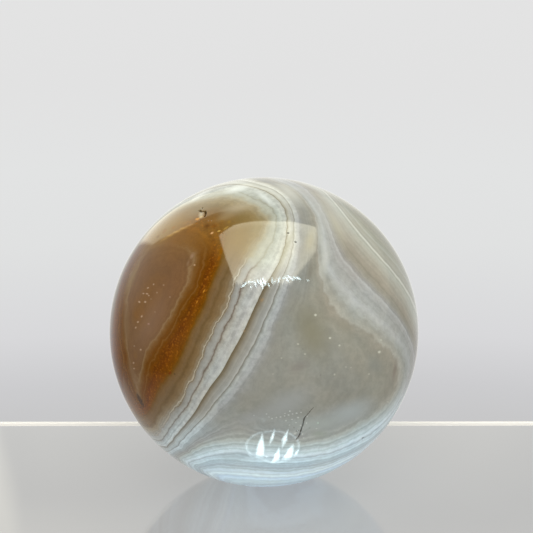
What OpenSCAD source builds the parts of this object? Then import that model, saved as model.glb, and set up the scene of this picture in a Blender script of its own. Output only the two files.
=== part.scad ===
// Polished agate ball, ground from one banded nodule.
//
// The ball is one solid stone. Its origin is the middle of the ball, +Z is up
// and -Y is the side with the widest clear window. Places on the surface are
// given as [azimuth, elevation] in degrees: azimuth turns from -Y towards +X,
// and elevation rises from the equator towards +Z.

/* [Ball] */
// Diameter of the polished ball
ball_d = 60; // [40:1:80]

/* [Open crack] */
// Length of the crack between its tips
crack_len = 7; // [4:0.5:10]
// Width of the crack at its widest bead
crack_w = 0.36; // [0.25:0.01:0.6]
// Depth of the crack below the polished face
crack_depth = 0.9; // [0.6:0.1:2]
// Diameter of the small pit beside the crack
crack_pit_d = 0.3; // [0.2:0.05:0.6]

/* [Worm-shaped hollow] */
// Length of the hollow between its ends
hollow_len = 3; // [2:0.5:5]
// Width of the hollow
hollow_w = 0.45; // [0.3:0.05:0.8]
// Depth of the hollow below the polished face
hollow_depth = 0.6; // [0.4:0.1:1.5]

/* [Pits] */
// Diameter of the pit in the pale bands, low on the right
band_pit_d = 0.6; // [0.3:0.05:1]
// Diameter of the two pits below the top
top_pit_d = 0.4; // [0.3:0.05:0.8]

/* [Hidden] */

ball_r = ball_d / 2;
// How far a growth band runs into its neighbour, so that they are one stone
grown_in = 0.1;
// How far a cutter reaches past the polished face
overcut = 1;

$fn = 120;
pit_fn = 24;

// Growth bands, stacked across the ball from the place where the nodule closed,
// at the brown side: [height of the band's far edge over the middle of the
// ball, in shares of its radius, colour]
closing_place = [-82, 26];
past_face = 1.1;
bands = [
    [0.86, "rosybrown"],
    [0.72, "saddlebrown"],
    [0.64, "darkgoldenrod"],
    [0.48, "rosybrown"],
    [0.44, "lightsteelblue"],
    [0.33, "whitesmoke"],
    [0.31, "dimgray"],
    [0.24, "darkgray"],
    [0.19, "gainsboro"],
    [-0.74, "darkgray"],
    [-0.79, "whitesmoke"],
    [-0.88, "lightsteelblue"],
    [-past_face, "rosybrown"]
];

// Places of the crack, the hollow and the pits
crack_at = [14, -19.5];
crack_pit_at = [11.6, -21.7];
hollow_at = [-43.5, 56.5];
band_pit_at = [44.3, -31.3];
top_pits_at = [[11.6, 44.4], [8.3, 47.1]];

// The crack's course as a chain of beads, in shares of its length and of its
// greatest width: [across, along, width]
crack_course = [
    [0.20, 0.50, 0.15],
    [0.11, 0.38, 0.45],
    [0.03, 0.27, 0.40],
    [-0.01, 0.20, 0.85],
    [-0.02, 0.11, 0.55],
    [-0.03, 0.00, 0.75],
    [-0.05, -0.10, 0.55],
    [-0.06, -0.18, 1.00],
    [-0.07, -0.24, 0.30],
    [-0.07, -0.31, 0.95],
    [-0.11, -0.39, 0.55],
    [-0.17, -0.50, 0.15]
];

// The hollow's course in shares of its length: [across, along]
hollow_course = [
    [-0.42, 0.28],
    [-0.50, 0.02],
    [-0.20, -0.10],
    [0.08, -0.02],
    [0.30, -0.22],
    [0.42, -0.50]
];

// Turns children from +Z to a place on the ball
module facing(place) {
    rotate([0, 0, place[0]])
        rotate([90 - place[1], 0, 0])
            children();
}

// Puts children, drawn about +Z from the polished face, at a place on the ball
module on_face(place) {
    facing(place)
        translate([0, 0, ball_r])
            children();
}

// One growth band, as a slice of the ball between two heights over its middle,
// in shares of its radius. It runs into the band below it.
module band(high, low) {
    intersection() {
        sphere(d = ball_d);
        translate([0, 0, low * ball_r - grown_in])
            cylinder(h = (high - low) * ball_r + grown_in, d = ball_d * past_face);
    }
}

// The stone before it cracked: all its bands, grown together
module banded_stone() {
    facing(closing_place)
        for (i = [0:len(bands) - 1])
            color(bands[i][1])
                band(i == 0 ? past_face : bands[i - 1][0], bands[i][0]);
}

// One edge of the crack, on the right (1) or the left (-1) of its course
function crack_edge(side) = [
    for (p = crack_course)
        [p[0] * crack_len + side * p[2] * crack_w / 2, p[1] * crack_len]
];

// A list from its last item to its first
function turned_back(list) = [for (i = [len(list) - 1:-1:0]) list[i]];

// The hairline crack, open to the face
module crack() {
    on_face(crack_at)
        translate([0, 0, -crack_depth])
            linear_extrude(crack_depth + overcut)
                polygon(concat(crack_edge(1), turned_back(crack_edge(-1))));
}

// A stroke of one width with round ends
module stroke(from, to, w) {
    run = to - from;
    for (end = [from, to])
        translate(end)
            circle(d = w, $fn = pit_fn);
    translate((from + to) / 2)
        rotate(atan2(run[1], run[0]))
            square([norm(run), w], center = true);
}

// The worm-shaped hollow: strokes joined end to end
module hollow() {
    on_face(hollow_at)
        translate([0, 0, -hollow_depth])
            linear_extrude(hollow_depth + overcut)
                for (i = [1:len(hollow_course) - 1])
                    stroke(hollow_course[i - 1] * hollow_len, hollow_course[i] * hollow_len, hollow_w);
}

// A round-bottomed pit, as deep as half its diameter
module pit(place, d) {
    on_face(place)
        sphere(d = d, $fn = pit_fn);
}

// The whole stone, with the flaws that its polished face shows
module agate_ball() {
    difference() {
        banded_stone();
        crack();
        pit(crack_pit_at, crack_pit_d);
        hollow();
        pit(band_pit_at, band_pit_d);
        for (place = top_pits_at)
            pit(place, top_pit_d);
    }
}

agate_ball();
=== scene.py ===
"""A polished ball of banded agate lying on a glossy pale sheet, in metres."""

import logging
import math
from dataclasses import dataclass
from enum import Enum

import bmesh
import bpy
import numpy as np
from mathutils import Matrix, Vector


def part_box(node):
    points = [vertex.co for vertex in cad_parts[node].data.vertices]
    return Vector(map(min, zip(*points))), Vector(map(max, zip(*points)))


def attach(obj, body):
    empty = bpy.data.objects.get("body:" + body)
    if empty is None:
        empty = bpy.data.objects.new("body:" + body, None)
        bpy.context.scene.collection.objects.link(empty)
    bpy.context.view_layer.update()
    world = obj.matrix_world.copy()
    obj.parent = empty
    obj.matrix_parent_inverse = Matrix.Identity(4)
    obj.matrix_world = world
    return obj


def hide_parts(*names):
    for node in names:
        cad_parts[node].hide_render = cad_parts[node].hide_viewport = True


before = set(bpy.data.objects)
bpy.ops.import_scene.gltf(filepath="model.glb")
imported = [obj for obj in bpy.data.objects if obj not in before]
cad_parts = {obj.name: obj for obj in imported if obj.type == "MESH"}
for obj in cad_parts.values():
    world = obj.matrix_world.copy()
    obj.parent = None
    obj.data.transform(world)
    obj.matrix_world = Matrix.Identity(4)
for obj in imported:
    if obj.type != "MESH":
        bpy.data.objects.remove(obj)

LOG = logging.getLogger("agate_ball")
MM = 0.001
LOWEST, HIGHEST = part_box("agate_ball")
BALL_R = (HIGHEST.z - LOWEST.z) / 2
FAR_AWAY = 9.0  # further apart than any two places on a unit ball
SAME_SIDE = 0.3  # the least cosine between a stain and a place that it can reach

Colour = tuple[int, int, int]
Point = tuple[float, float]
Rows = np.ndarray
Socket = bpy.types.NodeSocket
BMesh = bmesh.types.BMesh


def linear(colour: Colour) -> tuple[float, float, float, float]:
    """Turns a colour as a screen shows it into the light it stands for.

    Args:
        colour: Red, green and blue, each from 0 to 255.

    Returns:
        The same colour in linear light, opaque.
    """
    shares = [part / 255 for part in colour]
    light = [s / 12.92 if s <= 0.04045 else ((s + 0.055) / 1.055) ** 2.4 for s in shares]
    return (light[0], light[1], light[2], 1.0)


def smooth_step(low: float, high: float, values: Rows) -> Rows:
    """Rises smoothly from 0 to 1.

    Args:
        low: Where it leaves 0.
        high: Where it reaches 1.
        values: Where it is wanted.

    Returns:
        The height of the step at each value.
    """
    share = np.clip((values - low) / (high - low), 0.0, 1.0)
    return share * share * (3.0 - 2.0 * share)


def unit(rows: Rows) -> Rows:
    """Returns the directions of some rows, each of length 1."""
    return rows / np.linalg.norm(rows, axis=-1, keepdims=True)


def compass(azimuth: float, elevation: float) -> Rows:
    """Gives a place on the ball as a direction from its middle.

    Args:
        azimuth: Degrees from -Y, the window side, towards +X.
        elevation: Degrees above the widest level.

    Returns:
        A direction of length 1.
    """
    turn, rise = math.radians(azimuth), math.radians(elevation)
    level = math.cos(rise)
    return np.array([math.sin(turn) * level, -math.cos(turn) * level, math.sin(rise)])


def placed(name: str, mesh: BMesh) -> bpy.types.Object:
    """Turns a finished mesh into a piece of the scene.

    Args:
        name: The piece's name.
        mesh: The mesh, which is used up.

    Returns:
        The piece.
    """
    data = bpy.data.meshes.new(name)
    mesh.to_mesh(data)
    mesh.free()
    piece = bpy.data.objects.new(name, data)
    bpy.context.scene.collection.objects.link(piece)
    return piece


@dataclass(frozen=True)
class Sight:
    """The view from which the stone was drawn, and the square grid of that drawing."""

    distance: float = 6.7 * BALL_R
    elevation: float = 13.6
    tilt: float = 10.004
    swing: float = 0.142
    grid: float = 533.0
    film_mm: float = 36.0
    lens_mm: float = 69.04
    nearest: float = 0.01
    farthest: float = 10.0

    def eye(self) -> Rows:
        """Returns the place of the eye."""
        return self.distance * compass(0.0, self.elevation)

    def axes(self) -> tuple[Rows, Rows, Rows]:
        """Finds how the view is turned.

        Returns:
            The directions forward, right and up.
        """
        forward = -compass(-self.swing, self.tilt)
        right = unit(np.cross(forward, [0.0, 0.0, 1.0]))
        return forward, right, np.cross(right, forward)

    def lift(self, points: Rows) -> Rows:
        """Casts drawn points onto the ball. A point just outside the outline goes to its edge.

        Args:
            points: Rows of steps across from the left edge and down from the top edge.

        Returns:
            One direction of length 1 from the middle of the ball for each point.
        """
        forward, right, up = self.axes()
        reach = self.lens_mm / self.film_mm * self.grid
        across = points[:, :1] - self.grid / 2
        down = points[:, 1:] - self.grid / 2
        rays = unit(reach * forward + across * right - down * up)
        eye = self.eye()
        along = rays @ eye
        under_root = np.maximum(along * along - eye @ eye + BALL_R * BALL_R, 0.0)
        return unit(eye + rays * (-along - np.sqrt(under_root))[:, None])

    def mirrored(self, points: Rows, height: float) -> Rows:
        """Finds what the ball mirrors to the eye at drawn points.

        Args:
            points: Rows of steps across from the left edge and down from the top edge.
            height: The height of the level plane in which the mirrored things lie.

        Returns:
            The place in that plane for each point.
        """
        out = self.lift(points)
        rays = unit(out * BALL_R - self.eye())
        bounced = rays - 2.0 * np.sum(rays * out, axis=1, keepdims=True) * out
        reach = (height - out[:, 2:] * BALL_R) / bounced[:, 2:]
        return out * BALL_R + bounced * reach

    def camera(self) -> None:
        """Builds the camera at the eye and makes it the scene's own."""
        data = bpy.data.cameras.new("sight")
        data.lens, data.sensor_width = self.lens_mm, self.film_mm
        data.clip_start, data.clip_end = self.nearest, self.farthest
        camera = bpy.data.objects.new("sight", data)
        camera.location = Vector(self.eye())
        camera.rotation_euler = (math.radians(90.0 - self.tilt), 0.0, -math.radians(self.swing))
        bpy.context.scene.collection.objects.link(camera)
        bpy.context.scene.camera = camera


@dataclass(frozen=True)
class Course:
    """One growth line, drawn as points on the sight's grid, and its level in the stone."""

    name: str
    level: float
    points: tuple[Point, ...]

    def spaced(self, gap: float) -> Rows:
        """Spreads points evenly along the line.

        Args:
            gap: The wanted distance between them, in grid steps.

        Returns:
            Rows of grid points.
        """
        drawn = np.array(self.points, float)
        runs = np.linalg.norm(np.diff(drawn, axis=0), axis=1)
        way = np.concatenate([[0.0], np.cumsum(runs)])
        wanted = np.linspace(0.0, way[-1], max(2, int(round(way[-1] / gap)) + 1))
        return np.column_stack([np.interp(wanted, way, side) for side in drawn.T])


@dataclass(frozen=True)
class Mark:
    """The level at one place where no line is drawn, as on the far side."""

    azimuth: float
    elevation: float
    level: float


COURSES = (
    Course("heart edge", 1, ((195, 256), (190, 267), (188, 278), (184, 291), (178, 301), (172, 311),
        (167, 322), (162, 331), (156, 339), (150, 346), (146, 352), (143, 361), (141, 372),
        (140, 386), (140, 398))),
    Course("pale line in the heart", 1.4, ((205, 262), (200, 276), (196, 289), (190, 299),
        (181, 310), (176, 320), (171, 331), (163, 342), (157, 352), (151, 364), (147, 376),
        (145, 390), (143, 402))),
    Course("heart edge by the left limb", 1, ((148, 250), (138, 264), (132, 278), (128, 294),
        (126, 312), (126, 330), (128, 350), (132, 370), (137, 388))),
    Course("white line by the upper left limb", 3, ((194, 202), (181, 206), (168, 214), (156, 224),
        (146, 234), (136, 247), (127, 261), (120, 276), (115, 291), (112, 306))),
    Course("pale line by the left limb", 1.4, ((143, 244), (132, 260), (125, 277), (121, 294),
        (119, 312), (119, 330), (121, 350), (126, 372), (133, 392))),
    Course("amber edge", 2, ((225, 249), (222, 262), (217, 272), (213, 281), (210, 290), (205, 300),
        (203, 309), (198, 319), (193, 328), (189, 340), (183, 352), (177, 365), (171, 375),
        (163, 384), (158, 393), (154, 403), (149, 412))),
    Course("first white line", 3, ((240, 268), (234, 280), (230, 294), (226, 306), (221, 315),
        (214, 325), (211, 333), (207, 341), (203, 351), (200, 360), (196, 370), (192, 378),
        (186, 387), (183, 397), (178, 405), (172, 413), (165, 422), (161, 432))),
    Course("dark line", 3.4, ((277, 218), (276, 230), (272, 241), (262, 257), (252, 269),
        (245, 281), (239, 294), (234, 307), (231, 317), (226, 328), (221, 338), (216, 347),
        (212, 358), (207, 368), (202, 377), (198, 387), (192, 395), (187, 406), (180, 416),
        (172, 426), (167, 434), (162, 441))),
    Course("groove", 4, ((188, 199), (198, 194), (208, 189), (220, 186), (235, 184), (250, 186),
        (262, 189), (272, 194), (280, 201), (285, 208), (288, 219), (288, 232), (286, 246),
        (281, 261), (273, 274), (265, 286), (259, 299), (253, 311), (247, 325), (241, 337),
        (235, 348), (230, 357), (225, 366), (219, 376), (212, 384), (206, 393), (200, 403),
        (195, 412), (189, 420), (181, 430), (174, 439), (167, 447))),
    Course("dark line over the top", 3.4, ((204, 197), (215, 192), (232, 190), (246, 194),
        (257, 200), (268, 206), (275, 212))),
    Course("second dark line", 4.6, ((262, 186), (272, 189), (281, 195), (288, 203), (292, 213),
        (293, 226), (293, 240), (290, 254), (286, 268), (280, 283), (275, 296), (268, 312),
        (264, 322), (258, 335), (254, 343), (248, 355), (243, 363), (238, 373), (231, 384),
        (224, 393), (217, 401), (210, 410), (203, 418), (195, 426), (187, 434), (179, 442))),
    Course("nest edge", 5, ((258, 182), (270, 185), (281, 191), (290, 199), (296, 208), (299, 222),
        (300, 240), (299, 256), (294, 270), (288, 284), (283, 299), (277, 315), (271, 332),
        (263, 349), (256, 361), (250, 372), (243, 383), (235, 392), (226, 402), (217, 412),
        (207, 422), (197, 432), (188, 441), (182, 449))),
    Course("window edge", 6, ((276, 182), (288, 186), (298, 193), (307, 203), (314, 213),
        (318, 226), (318, 242), (318, 258), (320, 274), (325, 292), (333, 308), (345, 319),
        (358, 326), (371, 335), (382, 345), (391, 353), (398, 362), (400, 373), (399, 384),
        (395, 394), (388, 404), (378, 413), (366, 422), (352, 430), (337, 437), (320, 442),
        (300, 444), (280, 444), (260, 443), (243, 441), (225, 442), (208, 445), (196, 449),
        (186, 454))),
    Course("feather line", 6.5, ((290, 184), (303, 193), (313, 204), (320, 216), (324, 230),
        (326, 244), (328, 258), (333, 271), (342, 281), (352, 293), (363, 303), (375, 314),
        (386, 323), (396, 333), (404, 344), (409, 356), (410, 369), (407, 383), (402, 394),
        (394, 407), (386, 417), (375, 427), (362, 435), (350, 441), (336, 447), (320, 451),
        (300, 454), (280, 454), (260, 452), (243, 450), (232, 448), (222, 450), (212, 452),
        (202, 455), (192, 458), (184, 460))),
    Course("crown line", 7, ((305, 189), (316, 201), (324, 215), (330, 229), (334, 243), (342, 258),
        (352, 271), (365, 284), (378, 296), (390, 309), (400, 321), (409, 337), (413, 350))),
    Course("second foot line", 7, ((400, 404), (388, 422), (374, 436), (358, 446), (342, 453),
        (325, 459), (305, 462), (285, 463), (265, 463), (245, 461), (225, 459), (210, 460),
        (198, 464))),
    Course("beige inner edge", 7.4, ((313, 190), (325, 204), (334, 221), (342, 237), (353, 254),
        (366, 269), (379, 283), (393, 299), (403, 313), (412, 331))),
    Course("third foot line", 7.5, ((397, 414), (380, 435), (362, 450), (345, 459), (328, 466),
        (310, 471), (290, 474), (265, 474), (240, 472), (220, 470), (205, 471))),
    Course("beige outer edge", 8, ((318, 190), (330, 201), (345, 221), (358, 238), (372, 253),
        (386, 268), (398, 283), (408, 299), (414, 316))),
    Course("first cap line", 8.3, ((325, 192), (335, 203), (350, 222), (364, 239), (378, 255),
        (391, 270), (402, 284), (411, 299))),
    Course("second cap line", 8.7, ((330, 192), (341, 203), (355, 219), (370, 236), (385, 251),
        (398, 266), (408, 281), (414, 295))),
)
MARKS = tuple(Mark(*place) for place in (
    (-52, 14, 0.3), (-46, 22, 0.45), (-50, 0, 0.4), (-92, 8, 2.2), (-112, 22, 4), (-112, 0, 3.4),
    (-112, 45, 4), (-95, -12, 2.2), (-78, -26, 1.7), (-132, 20, 4.5), (-126, -5, 4),
    (-120, 52, 4.4), (-105, -25, 3), (-146, 20, 4.8), (-140, -8, 4.5), (-130, 60, 4.6),
    (-112, -36, 3.6), (-160, 20, 4.9), (-154, -10, 4.8), (-145, 68, 4.8), (-125, -46, 4.5),
    (-176, 18, 5), (-168, -14, 5), (-160, 74, 5), (-138, -54, 5), (162, 14, 6), (172, -20, 6),
    (175, 76, 6), (-160, -56, 6), (150, 12, 6.5), (150, -30, 6.8), (136, 8, 7.3), (125, 5, 8),
    (140, 62, 7.5), (110, 75, 8.4), (115, 10, 8.5), (95, 41, 9.8), (130, 40, 9), (161, -83, 8.4),
    (90, -20, 7.4), (120, -35, 7.6), (100, -55, 7.8), (-150, -75, 7.6), (-60, -78, 7.8),
    (0, -80, 8.2), (60, -70, 8), (14, -5, 5.5), (20, 10, 5.5), (30, -20, 5.6), (10, -25, 5.5),
    (5, 15, 5.35), (40, -8, 5.75), (0, -20, 5.4),
))

class GrowthField:
    """The growth level all over the ball, carried smoothly between the courses and the marks."""

    def __init__(self, sight: Sight, courses: tuple[Course, ...], marks: tuple[Mark, ...],
                 gap: float = 9.0, ease: float = 0.004) -> None:
        """Fits the field.

        Args:
            sight: The view in which the courses are drawn.
            courses: The drawn growth lines.
            marks: The levels given at single places.
            gap: Distance between the points taken from a course, in grid steps.
            ease: How far the field may pass by a point, to stay smooth.
        """
        places = [sight.lift(course.spaced(gap)) for course in courses]
        levels = [np.full(len(p), c.level) for p, c in zip(places, courses)]
        places.append(np.array([compass(m.azimuth, m.elevation) for m in marks]))
        levels.append(np.array([m.level for m in marks], float))
        self.places = np.vstack(places)
        count = len(self.places)
        system = np.zeros((count + 4, count + 4))
        system[:count, :count] = self.apart(self.places) - ease * np.eye(count)
        system[:count, count] = system[count, :count] = 1.0
        system[:count, count + 1:] = self.places
        system[count + 1:, :count] = self.places.T
        self.weights = np.linalg.solve(system, np.concatenate([*levels, np.zeros(4)]))

    def apart(self, points: Rows) -> Rows:
        """Returns how far each point is from each place that the field was fitted to."""
        return np.sqrt(np.maximum(2.0 - 2.0 * points @ self.places.T, 0.0))

    def level(self, points: Rows, batch: int = 8000) -> Rows:
        """Reads the field.

        Args:
            points: Directions of length 1 from the middle of the ball.
            batch: How many are worked out at a time.

        Returns:
            The growth level of each.
        """
        count = len(self.places)
        read = [self.apart(part) @ self.weights[:count] + self.weights[count]
                + part @ self.weights[count + 1:]
                for part in np.array_split(points, max(1, len(points) // batch))]
        return np.concatenate(read)


@dataclass(frozen=True)
class Blotch:
    """A soft oval mark, drawn on the sight's grid: stains, flecks, patches of painted light and
    zones are all made of these. A positive turn rises to the right.
    """

    across: float
    down: float
    long: float
    short: float
    turn: float
    strength: float
    colour: Colour = (0, 0, 0)
    soft: float = 0.8

    def cover(self, sight: Sight, points: Rows) -> Rows:
        """Says how strongly the mark lies on the ball.

        Args:
            sight: The view in which it is drawn.
            points: Directions of length 1 from the middle of the ball.

        Returns:
            The strength at each of them.
        """
        lean = math.radians(self.turn)
        ends = np.array([[0.0, 0.0], [math.cos(lean), -math.sin(lean)],
                         [math.sin(lean), math.cos(lean)]])
        middle, along, over = sight.lift(ends + [self.across, self.down])
        steps = (points - middle) @ np.linalg.pinv(np.array([along - middle, over - middle]))
        far = np.hypot(steps[:, 0] / self.long, steps[:, 1] / self.short)
        far[points @ middle < SAME_SIDE] = FAR_AWAY
        return self.strength * (1.0 - smooth_step(1.0 - self.soft, 1.0, far))


@dataclass(frozen=True)
class Flaw:
    """An open flaw in the polish: a chain of points, with the half width of its mouth at each."""

    azimuth: float
    elevation: float
    chain: tuple[tuple[float, float, float], ...]
    depth: float

    def spans(self) -> tuple[Rows, Rows]:
        """Lays the chain on a unit ball.

        Returns:
            Its places there, and its half widths on that ball.
        """
        out = compass(self.azimuth, self.elevation)
        east = compass(self.azimuth + 90.0, 0.0)
        north = compass(self.azimuth, self.elevation + 90.0)
        steps = np.array(self.chain) * MM / BALL_R
        return unit(out + steps[:, :1] * east + steps[:, 1:2] * north), steps[:, 2]

    def near(self, points: Rows) -> tuple[Rows, Rows]:
        """Measures points against the chain.

        Args:
            points: Directions of length 1 from the middle of the ball.

        Returns:
            How far each is from the chain, and the half width of the mouth there.
        """
        places, halves = self.spans()
        if len(places) == 1:
            return np.linalg.norm(points - places[0], axis=1), np.full(len(points), halves[0])
        gap, half = np.full(len(points), FAR_AWAY), np.zeros(len(points))
        for start, end, wide, narrow in zip(places, places[1:], halves, halves[1:]):
            run = end - start
            share = np.clip((points - start) @ run / (run @ run), 0.0, 1.0)
            far = np.linalg.norm(points - start - share[:, None] * run, axis=1)
            closer = far < gap
            gap[closer] = far[closer]
            half[closer] = (wide + (narrow - wide) * share)[closer]
        return gap, half

    def dense(self, gap: float = 0.004) -> Rows:
        """Lays places so close along the flaw that none of it is missed.

        Args:
            gap: The widest gap between them, on a unit ball.

        Returns:
            The places.
        """
        places, _ = self.spans()
        rows = [places[:1]]
        for start, end in zip(places, places[1:]):
            count = max(1, int(np.linalg.norm(end - start) / gap))
            rows.append(start + np.arange(1, count + 1)[:, None] / count * (end - start))
        return np.vstack(rows)


def crack(length: float = 7.0, width: float = 0.36, depth: float = 0.9) -> Flaw:
    """Draws the open crack.

    Args:
        length: Its length, in millimetres.
        width: The width of its widest mouth.
        depth: How deep it is.

    Returns:
        The crack.
    """
    course = ((0.20, 0.50, 0.15), (0.11, 0.38, 0.45), (0.03, 0.27, 0.40), (-0.01, 0.20, 0.85),
              (-0.02, 0.11, 0.55), (-0.03, 0, 0.75), (-0.05, -0.10, 0.55), (-0.06, -0.18, 1),
              (-0.07, -0.24, 0.30), (-0.07, -0.31, 0.95), (-0.11, -0.39, 0.55),
              (-0.17, -0.50, 0.15))
    chain = tuple((a * length, b * length, w * width / 2) for a, b, w in course)
    return Flaw(14.0, -19.5, chain, depth)


def hollow(length: float = 2.7, width: float = 0.36, depth: float = 0.6) -> Flaw:
    """Draws the worm-shaped hollow.

    Args:
        length: Its length, in millimetres.
        width: The width of its mouth.
        depth: How deep it is.

    Returns:
        The hollow.
    """
    course = ((-0.42, 0.28), (-0.50, 0.02), (-0.20, -0.10), (0.08, -0.02), (0.30, -0.22),
              (0.42, -0.50))
    chain = tuple((a * length, b * length, width / 2) for a, b in course)
    return Flaw(-40.9, 56.9, chain, depth)


def pit(azimuth: float, elevation: float, size: float) -> Flaw:
    """Returns a round pit as deep as its mouth is half wide, in millimetres."""
    return Flaw(azimuth, elevation, ((0.0, 0.0, size),), size)


FLAWS = (crack(), hollow(), pit(11.6, -21.7, 0.15), pit(44.3, -31.3, 0.3), pit(14.6, 43.9, 0.2),
         pit(12.1, 47.7, 0.2))
# Zones where the nest bands are painted lighter and warmer: painted window light.
WINDOW_LIT_ZONES = tuple(Blotch(*zone, soft=soft) for *zone, soft in (
    (206, 202, 100, 36, 20, 1, 0.45), (262, 228, 46, 38, -62, 1, 0.4),
    (109, 315, 90, 21, 90, 1, 0.5),
))
# Real colour stains, with patches of painted light among them: the lit crescent at the upper left
# and the lighter, bluer lower window.
STAINS_AND_PAINTED_LIGHT = tuple(Blotch(*row) for row in (
    (312, 332, 46, 26, -70, 0.8, (124, 120, 98), 1), (300, 366, 16, 8, 20, 0.7, (124, 119, 111), 1),
    (346, 326, 16, 7, -25, 0.7, (134, 130, 114), 1),
    (375, 366, 16, 12, -60, 0.6, (124, 126, 118), 1),
    (350, 413, 38, 16, 22, 0.9, (160, 167, 166), 1), (318, 425, 44, 14, 5, 0.8, (158, 165, 160), 1),
    (285, 405, 48, 20, 25, 0.8, (148, 151, 148), 1),
    (250, 418, 26, 10, 20, 0.6, (142, 144, 142), 1),
    (395, 370, 17, 3.2, 80, 0.75, (118, 106, 92), 1), (320, 434, 12, 5, 0, 0.6, (142, 152, 138), 1),
    (330, 214, 42, 18, -52, 0.4, (190, 190, 176), 1),
    (321, 238, 26, 5, -80, 0.6, (190, 192, 182), 1),
    (337, 226, 26, 5, -62, 0.6, (178, 174, 152), 1), (238, 238, 40, 24, 60, 0.7, (132, 106, 48), 1),
    (258, 226, 16, 9, 70, 0.5, (134, 120, 76), 1), (166, 227, 42, 13, 38, 0.85, (138, 108, 46)),
    (198, 211, 22, 7, 30, 0.4, (138, 124, 90), 1),
    (201, 214.5, 4.6, 3.4, 60, 0.6, (206, 196, 164), 1),
    (236, 189, 17, 4.6, 12, 0.7, (226, 232, 224), 1),
    (265, 197.5, 19, 4.4, -40, 0.7, (218, 224, 216), 1),
    (286.4, 248, 27, 4.2, 68, 0.7, (140, 136, 108), 1),
    (289, 192, 26, 8, -38, 0.6, (206, 206, 192), 1), (236, 209, 22, 8, 14, 0.6, (166, 152, 122), 1),
    (325, 260, 30, 7, 80, 0.5, (196, 196, 184), 1),
    (256, 184.5, 20, 2.6, -14, 0.8, (146, 146, 130), 1),
    (131.5, 279, 24, 4, 68, 0.85, (126, 100, 62)), (126.3, 322, 30, 4, 90, 0.85, (118, 91, 62)),
    (132, 369, 24, 3.6, 104, 0.8, (114, 86, 58)), (150, 322, 52, 18, 68, 0.45, (126, 100, 80), 1),
    (200, 195, 17, 3, 32, 0.6, (236, 238, 228), 1), (226, 217, 16, 5, 16, 0.6, (146, 124, 84), 1),
    (176.8, 231.6, 28, 1.5, 27.3, 0.75, (196, 154, 82), 1),
    (235, 456, 38, 8, 4, 0.5, (158, 174, 178), 1), (310, 240, 18, 7, 80, 0.5, (172, 162, 128), 1),
    (310, 272, 16, 5, 78, 0.5, (112, 106, 90), 1),
))
PINK, CREAM, CHIP = (178, 150, 122), (198, 198, 180), (190, 195, 188)
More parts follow.
